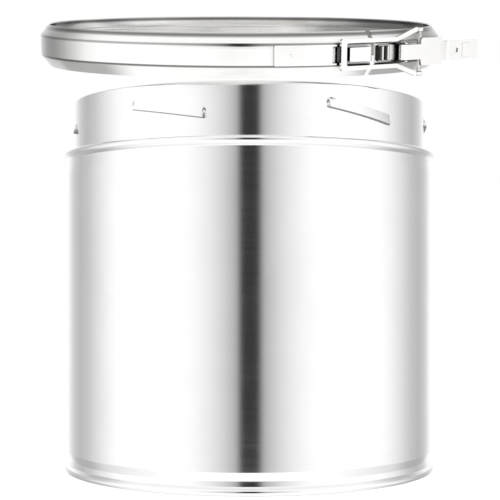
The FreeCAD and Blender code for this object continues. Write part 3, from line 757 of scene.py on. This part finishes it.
def mouth_ring():
    """Flat ring that narrows the mouth, with a rolled inner lip."""
    outer = NECK - WALL - 0.05
    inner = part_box("mouth_ring")[1].x / MM - 21.55
    outline = [(outer, MOUTH_LOW), (outer, MOUTH_TOP), (inner, MOUTH_TOP), (inner, MOUTH_TOP - 11),
               (inner + WALL, MOUTH_TOP - 11), (inner + WALL, MOUTH_TOP - WALL),
               (outer - WALL, MOUTH_TOP - WALL), (outer - WALL, MOUTH_LOW)]
    mesh = new_mesh()
    turned(mesh, eased(outline, 1.2), segments=240)
    return piece("mouth_collar", mesh, LOOKS["inner_steel"], "can", ["mouth_ring"])


def lid():
    """Press-in lid: rim, plug wall, gutter, raised panel with two pressed rings."""
    plug = 116.6
    under = LID_TOP - WALL
    panel = 94.0
    below = [(0, LID_LOW + 3), (30, LID_LOW + 3), (32.5, LID_LOW + 2), (36, LID_LOW + 2), (38.5, LID_LOW + 3),
             (66, LID_LOW + 3), (68.5, LID_LOW + 2), (72, LID_LOW + 2), (74.5, LID_LOW + 3),
             (panel, LID_LOW + 3), (panel + 3, LID_LOW), (plug, LID_LOW), (plug, under),
             (LID_RADIUS - WALL, under), (LID_RADIUS - WALL, under - 1.3), (LID_RADIUS, under - 1.3)]
    above = [(LID_RADIUS, LID_TOP), (plug - WALL, LID_TOP), (plug - WALL, LID_LOW + 1),
             (panel + 3.4, LID_LOW + 1), (panel + 0.4, LID_LOW + 4), (74.9, LID_LOW + 4),
             (72.4, LID_LOW + 3), (68.1, LID_LOW + 3), (65.6, LID_LOW + 4), (38.9, LID_LOW + 4),
             (36.4, LID_LOW + 3), (32.1, LID_LOW + 3), (29.6, LID_LOW + 4), (0, LID_LOW + 4)]
    mesh = new_mesh()
    turned(mesh, eased(below + above, 1.3, closed=False), segments=240)
    return piece("press_lid", mesh, LOOKS["inner_steel"], "lid", ["lid"])


def lid_gasket():
    low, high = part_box("lid_gasket")
    outer = high.x / MM
    outline = [(outer - 4, low.z / MM), (outer, low.z / MM), (outer, high.z / MM), (outer - 4, high.z / MM)]
    mesh = new_mesh()
    turned(mesh, eased(outline, 0.6), segments=180)
    return piece("gasket", mesh, LOOKS["gasket_rubber"], "lid", ["lid_gasket"])


# ---------------------------------------------------------------- band

SHEET = 1.2
FACE_HALF = 7.7
LIP_RADIUS = 150.4
INNER_LIP = (149.46, 14.86)
INNER_HALF = 7.29
MEETING = 217.0


def band_outline():
    """V section of the strip with rounded bends."""
    inner = BAND_RADIUS - SHEET
    outside = eased([(LIP_RADIUS, -BAND_LIP_LEVEL), (BAND_RADIUS, -FACE_HALF), (BAND_RADIUS, FACE_HALF),
                     (LIP_RADIUS, BAND_LIP_LEVEL)], 4.6, 8, closed=False)
    inside = eased([(INNER_LIP[0], INNER_LIP[1]), (inner, INNER_HALF), (inner, -INNER_HALF),
                    (INNER_LIP[0], -INNER_LIP[1])], 3.4, 6, closed=False)
    face = len(outside) // 2
    strips = [(BAND_RADIUS, -FACE_HALF + 1.5 + (FACE_HALF - 1.5) * 2 * step / 5) for step in range(1, 5)]
    return outside[:face] + strips + outside[face:] + inside


def band_half(name, start, sweep, nodes):
    """Half of the strip, swept between two bearings round the band's axis."""
    mesh = new_mesh()
    turned(mesh, band_outline(), BAND, 200, start, sweep)
    half = piece(name, mesh, LOOKS["band_steel"], None, nodes)
    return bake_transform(half)


def band():
    left = band_half("band_left_half", MEETING - 360, GAP_LEFT + 360 - MEETING,
                     ["band_left_arc", "band_back_arc"])
    right = band_half("band_right_half", GAP_RIGHT, MEETING - GAP_RIGHT, ["band_right_arc"])
    return left, right


# ---------------------------------------------------------------- latch

PLATE = 1.4
CATCH_HALF = 7.0
SLOT = (24.3, 26.3)
SLOT_HALF = 5.8
TONGUE_HALF = 5.0
CLAW_HALF = 4.8
CLAW_START = 28.5
PLATE_END = 26.6
BRACKET_HALF = 5.6
ROLL_RADIUS = 158.0
ROLL = 2.35
ROLL_HALF = 5.0
ROLL_STEPS = (0.9, 2.9)
PIN = 1.6
RIVET_HALF = 6.85
LONG_PIN_HALF = 16.9


def arc_length(start, stop, radius):
    return math.radians(stop - start) * radius


def catch_plate():
    """Curved plate with a slot; its tongue folds back outwards into the claw."""
    middle = PLATE_RADIUS + PLATE / 2
    fold = (CLAW_RADIUS - PLATE / 2 - middle) / 2
    fold_at = CATCH_END - 0.8
    steps = 40
    bearings = [CATCH_START + (fold_at - CATCH_START) * step / steps for step in range(steps + 1)]
    curve = [polar(middle, bearing).to_2d() for bearing in bearings]
    last = curve[-1]
    out = last.normalized()
    ahead = (curve[-1] - curve[-2]).normalized()
    for step in range(1, 13):
        angle = math.radians(180 * step / 12)
        curve.append(last + out * fold * (1 - math.cos(angle)) + ahead * fold * math.sin(angle))
    back = arc_length(CLAW_START, fold_at, CLAW_RADIUS) - 0.2
    curve.append(curve[-1] - ahead * back - out * 0.35)
    path = Path(curve)

    def at(bearing):
        return arc_length(CATCH_START, bearing, middle)

    end = path.length
    outline = eased([(0, -CATCH_HALF), (at(PLATE_END), -CATCH_HALF), (at(PLATE_END + 0.3), -TONGUE_HALF),
                     (end, -CLAW_HALF), (end, CLAW_HALF), (at(PLATE_END + 0.3), TONGUE_HALF),
                     (at(PLATE_END), CATCH_HALF), (0, CATCH_HALF)], 0.8)
    slot = eased([(at(SLOT[0]), -SLOT_HALF), (at(SLOT[1]), -SLOT_HALF), (at(SLOT[1]), SLOT_HALF),
                  (at(SLOT[0]), SLOT_HALF)], 0.5)
    mesh = new_mesh()
    plate(mesh, outline, PLATE, BAND, path, [slot], 0.8)
    return piece("catch", mesh, LOOKS["latch_steel"], "band_left", ["catch_plate"], flat=True)


def spot_welds(name, node, body):
    """Shallow round marks with a raised ring, where the CAD marks are."""
    points = local_points(node, BAND)
    bearings = sorted({round(bearing_of(point), 1) for point in points})
    middle = (bearings[0] + bearings[-1]) / 2
    groups = [[b for b in bearings if b < middle], [b for b in bearings if b >= middle]]
    surface = PLATE_RADIUS + PLATE
    mesh = new_mesh()
    for group in groups:
        bearing = (group[0] + group[-1]) / 2
        outward = BAND.to_3x3() @ polar(1, bearing)
        place = frame_along(BAND @ (polar(surface, bearing) * MM), BAND_UP, outward)
        mark = [(0, 0.02), (0.6, 0.02), (0.8, 0.06), (1.0, 0.07), (1.2, 0.03), (1.3, 0.0), (0, -0.05)]
        turned(mesh, mark, place, 32)
    return piece(name, mesh, LOOKS["latch_steel"], body, [node])


def pivot_bracket():
    """Curved plate on the right arc, two pressed rolls, and two ears for the pivot pin."""
    middle = PLATE_RADIUS + PLATE / 2
    steps = 30
    bearings = [BRACKET_START + (BRACKET_END - BRACKET_START) * step / steps for step in range(steps + 1)]
    curve = Path([polar(middle, bearing).to_2d() for bearing in bearings])
    mesh = new_mesh()
    outline = eased([(0, -BRACKET_HALF), (curve.length, -BRACKET_HALF), (curve.length, BRACKET_HALF),
                     (0, BRACKET_HALF)], 0.9)
    plate(mesh, outline, PLATE, BAND, curve, strip=0.9)
    roll = eased([(0, -ROLL_HALF), (ROLL, -ROLL_HALF), (ROLL, ROLL_HALF), (0, ROLL_HALF)], 0.5, closed=False)
    for step in ROLL_STEPS:
        spot = BAND @ (polar(ROLL_RADIUS, BRACKET_START + step) * MM)
        outward = BAND.to_3x3() @ polar(1, BRACKET_START + step)
        turned(mesh, roll, frame_along(spot, outward, BAND_UP), 40)
    outward = BAND.to_3x3() @ polar(1, PIVOT_BEARING)
    foot = PLATE_RADIUS + 0.2 - PIVOT_RADIUS
    ear = eased([(foot, -5.0), (1.6, -3.2), (3.1, -1.6), (3.1, 1.6), (1.6, 3.2), (foot, 5.0)], 1.4)
    for side in (-1, 1):
        across = BAND_UP.cross(outward)
        upright = frame_along(PIVOT + BAND_UP * (side * 6.2 * MM), outward, across)
        plate(mesh, [(x, -y) for x, y in ear], 1.15, upright, holes=[ring_points(PIN + 0.05)], edge=0.2)
    return piece("bracket", mesh, LOOKS["bracket_steel"], "band_right", ["pivot_bracket"],
                 flat=True)


def pivot_pin():
    mesh = new_mesh()
    rod(mesh, PIN - 0.01, RIVET_HALF, LEVER)
    pin = piece("rivet", mesh, LOOKS["pin_steel"], "band_right", ["pivot_pin"])
    heads = new_mesh()
    outline = eased([(0, RIVET_HALF), (2.4, RIVET_HALF), (2.3, RIVET_HALF + 0.35), (1.6, RIVET_HALF + 0.55),
                     (0, RIVET_HALF + 0.6)], 0.25, closed=False)
    for side in (-1, 1):
        place = LEVER @ Matrix.Scale(side, 4, (0, 0, 1))
        turned(heads, outline, place, 40)
    return pin, piece("rivet_heads", heads, LOOKS["pin_steel"], "band_right", ["pin_heads"])


def lever():
    """Pressed lever: curled knuckle, waist, flanged wide plate, joggle and tip with a hole."""
    gauge = 1.5
    middle = LEVER_SKIN + gauge / 2
    joggle = 3.0
    knuckle = 2.6
    turns = [math.radians(angle) for angle in range(20, 271, 10)]
    curl = [(knuckle * math.cos(turn), knuckle * math.sin(turn)) for turn in turns]
    step_at, tip_at = 39.2, 41.4
    step_run = math.dist((step_at, middle), (tip_at, middle - joggle))
    line = eased([(0.4, middle), (step_at, middle), (tip_at, middle - joggle),
                  (LEVER_END, middle - joggle)], 1.6, 6, closed=False, least_turn=4)
    path = Path(curl + line)
    origin = path.length - (LEVER_END - tip_at) - step_run - step_at

    def s(x):
        """Distance along the sheet at a lever's x."""
        if x <= step_at:
            return origin + x
        if x >= tip_at:
            return path.length - (LEVER_END - x)
        return origin + step_at + (x - step_at) * step_run / (tip_at - step_at)

    half = 5.3
    wide = 9.7
    tip = 6.9
    hole_at, hole_radius = 51.0, 1.65
    right_side = [(0, -half), (s(15.2), -half), (s(16.4), -wide), (s(38.7), -wide), (s(39.6), -tip),
                  (s(LEVER_END), -tip)]
    outline = eased(right_side + [(x, -z) for x, z in reversed(right_side)], 1.0)
    hole = [(x + s(hole_at), z) for x, z in ring_points(hole_radius)]
    mesh = new_mesh()
    plate(mesh, outline, gauge, LEVER, path, [hole], 0.9, 0.3)
    flange = eased([(20.4, -0.5), (38.0, -0.5), (36.4, 3.6), (20.4, 3.6)], 0.7)
    for side in (-1, 1):
        corner = LEVER @ (Vector((0, middle, side * (wide - gauge / 2))) * MM)
        plate(mesh, flange, gauge, frame_along(corner, LEVER_RUN, LEVER_OUT), edge=0.3)
    ring = [(PIN + 0.06, -half), (3.2, -half), (3.2, half), (PIN + 0.06, half)]
    turned(mesh, eased(ring, 0.3), LONG_PIN, 40)
    patch = eased([(57.4, -5.0), (66.4, -5.0), (66.4, 5.0), (57.4, 5.0)], 1.0)
    raised = frame_along(LEVER @ (Vector((0, LEVER_SKIN - joggle - 0.02, 0)) * MM), LEVER_RUN, BAND_UP)
    plate(mesh, patch, 0.3, raised, edge=0.14)
    return piece("lever_plate", mesh, LOOKS["latch_steel"], "lever", ["lever"], flat=True)


def bail():
    """Flat stamped frame that flares out to the long pin, with two rolled eyes."""
    near = 10.8
    far = 17.2
    arm = 3.0
    bar = 2.5
    bend = 49.0
    flare = 67.5
    upper = [(-bar, near), (bend, near), (flare, far), (BAIL_REACH, far)]
    inner = [(BAIL_REACH, far - arm), (flare + 1, far - arm), (bend + 1, near - arm), (bar, near - arm)]
    half = upper + inner
    outline = eased(half + [(x, -z) for x, z in reversed(half)], 1.6)
    mesh = new_mesh()
    plate(mesh, outline, 1.8, BAIL, edge=0.8)
    for side in (-1, 1):
        low, high = sorted((side * far, side * (far - arm)))
        eye = [(PIN + 0.03, low), (2.6, low), (2.6, high), (PIN + 0.03, high)]
        turned(mesh, eased(eye, 0.4), LONG_PIN, 40)
    stamped = piece("bail_loop", mesh, LOOKS["latch_steel"], "bail", ["bail_frame"], flat=True)
    pin = new_mesh()
    rod(pin, PIN, LONG_PIN_HALF, LONG_PIN)
    return stamped, piece("long_pin", pin, LOOKS["pin_steel"], "bail", ["bail_pin"])


# ---------------------------------------------------------------- stage

def floor():
    """Plain white floor that shows to the camera but not in the steel."""
    bpy.ops.mesh.primitive_plane_add(size=12)
    ground = bpy.context.object
    ground.name = "floor"
    ground.visible_glossy = False
    material, nodes = new_look("white_floor")
    paper = nodes.add("ShaderNodeBsdfDiffuse", Color=(0.85, 0.85, 0.85, 1))
    glow = nodes.add("ShaderNodeEmission", Strength=0.55)
    both = nodes.add("ShaderNodeAddShader")
    nodes.set(both, 0, paper.outputs[0])
    nodes.set(both, 1, glow.outputs[0])
    nodes.add("ShaderNodeOutputMaterial", Surface=both.outputs[0])
    ground.data.materials.append(material)


STUDIO_STRENGTH = 1.18
GAP_CENTRE = 0.6
LEVEL_BAND = (-16.0, -11.0, 34.0, 52.0)
LOW_BAND = (-52.0, -36.0, -12.0, -6.0)
GAP_HALF = 5.0
GAP_LEVEL = 0.03
SCREEN_START = 8.0
SCREEN_EDGE_LEVEL = 0.4
SCREEN_FULL = 60.0
SCREEN_SOFTNESS = 2.6
CORNER = 130.0
CORNER_LEVEL = 0.45
CORNER_FRONT_REACH = 60.0
CORNER_REAR_REACH = 50.0
CORNER_SOFTNESS = 1.5
LIGHT_STOPS = (GAP_HALF, SCREEN_START, 12, 17, 24, 34, 47, 70, 85, 95, 105, 118, CORNER, 142, 155, 180)
BELOW_LEVELS = [(50, 1.0), (85, 0.83), (105, 0.7), (122, 0.42), (138, 0.4), (155, 0.5), (180, 0.5)]
UPRIGHT = [(-90, 0.95), (-60, 0.95), (-40, 0.9), (-24, 0.95), (-12, 1.0), (14, 0.95), (60, 0.9), (90, 0.95)]


def screen_level(away):
    """Grey of the surroundings at an angle away from the gap: gap, white screens, dim rear corners."""
    if away <= GAP_HALF:
        return GAP_LEVEL
    missing = max(SCREEN_FULL - away, 0.0) / (SCREEN_FULL - SCREEN_START)
    screen = 1 - (1 - SCREEN_EDGE_LEVEL) * missing ** SCREEN_SOFTNESS
    reach = CORNER_FRONT_REACH if away < CORNER else CORNER_REAR_REACH
    apart = min(abs(away - CORNER) / reach, 1.0)
    corner = (0.5 + 0.5 * math.cos(math.pi * apart)) ** CORNER_SOFTNESS
    return screen * (1 - (1 - CORNER_LEVEL) * corner)


def both_sides(levels):
    """Grey stops over the whole turn, from (angle away from the gap, grey) pairs."""
    mirrored = [(-away, grey) for away, grey in reversed(levels)] + levels
    return grey_stops(mirrored, -180, 180)


def studio():
    """Soft white surroundings with a narrow dark gap at the front and greyer rear corners."""
    world = bpy.data.worlds.new("studio")
    world.use_nodes = True
    bpy.context.scene.world = world
    nodes = Nodes(world.node_tree)
    where = nodes.add("ShaderNodeTexCoord")
    parts = nodes.add("ShaderNodeSeparateXYZ", Vector=where.outputs["Generated"])
    turn = nodes.math("ARCTAN2", parts.outputs["X"], nodes.math("MULTIPLY", parts.outputs["Y"], -1.0))
    away = nodes.math("SUBTRACT", turn, math.radians(GAP_CENTRE))
    share = nodes.math("ADD", nodes.math("DIVIDE", away, 2 * math.pi), 0.5)
    around = nodes.ramp(share, both_sides([(away, screen_level(away)) for away in LIGHT_STOPS]))
    height = nodes.math("MULTIPLY", nodes.math("ARCSINE", parts.outputs["Z"]), 180 / math.pi)
    tilt = nodes.ranged(height, -90, 90, 0.0, 1.0)
    above = nodes.ramp(tilt, grey_stops(UPRIGHT, -90, 90))
    low_around = nodes.ramp(share, both_sides(BELOW_LEVELS))
    below = mixed(nodes, within(nodes, height, *LOW_BAND), above, low_around)
    colour = mixed(nodes, within(nodes, height, *LEVEL_BAND), below, around)
    soft = nodes.add("ShaderNodeBackground", Strength=STUDIO_STRENGTH, Color=colour)
    white = nodes.add("ShaderNodeBackground", Strength=1.0, Color=(1, 1, 1, 1))
    seen = nodes.add("ShaderNodeLightPath")
    choice = nodes.add("ShaderNodeMixShader")
    nodes.set(choice, 0, seen.outputs["Is Camera Ray"])
    nodes.set(choice, 1, soft.outputs[0])
    nodes.set(choice, 2, white.outputs[0])
    nodes.add("ShaderNodeOutputWorld", Surface=choice.outputs[0])


LENS = 91.8
SENSOR = 36
SHIFT = (0.002, 0.0674)
CAMERA_AWAY = 1.029
CAMERA_HEIGHT = 0.1478


def camera():
    """Level camera in front of the can, at half its height."""
    data = bpy.data.cameras.new("camera")
    data.lens = LENS
    data.sensor_width = SENSOR
    data.shift_x, data.shift_y = SHIFT
    seat = bpy.data.objects.new("camera", data)
    seat.location = (0, -CAMERA_AWAY, CAMERA_HEIGHT)
    seat.rotation_euler = (math.pi / 2, 0, 0)
    bpy.context.scene.collection.objects.link(seat)
    bpy.context.scene.camera = seat


def colour_management():
    view = bpy.context.scene.view_settings
    view.view_transform = "Standard"
    view.look = "None"


shell()
side_seam()
base_plate()
ring_weld("base_fillet", "base_weld", BODY - WALL, BASE_LOW, -1)
mouth_ring()
ring_weld("mouth_fillet", "mouth_weld", NECK - WALL, MOUTH_TOP, 1)
lid()
lid_gasket()
band()
catch_plate()
spot_welds("catch_spots", "catch_welds", "band_left")
pivot_bracket()
spot_welds("bracket_spots", "bracket_welds", "band_right")
pivot_pin()
lever()
bail()
floor()
studio()
camera()
colour_management()
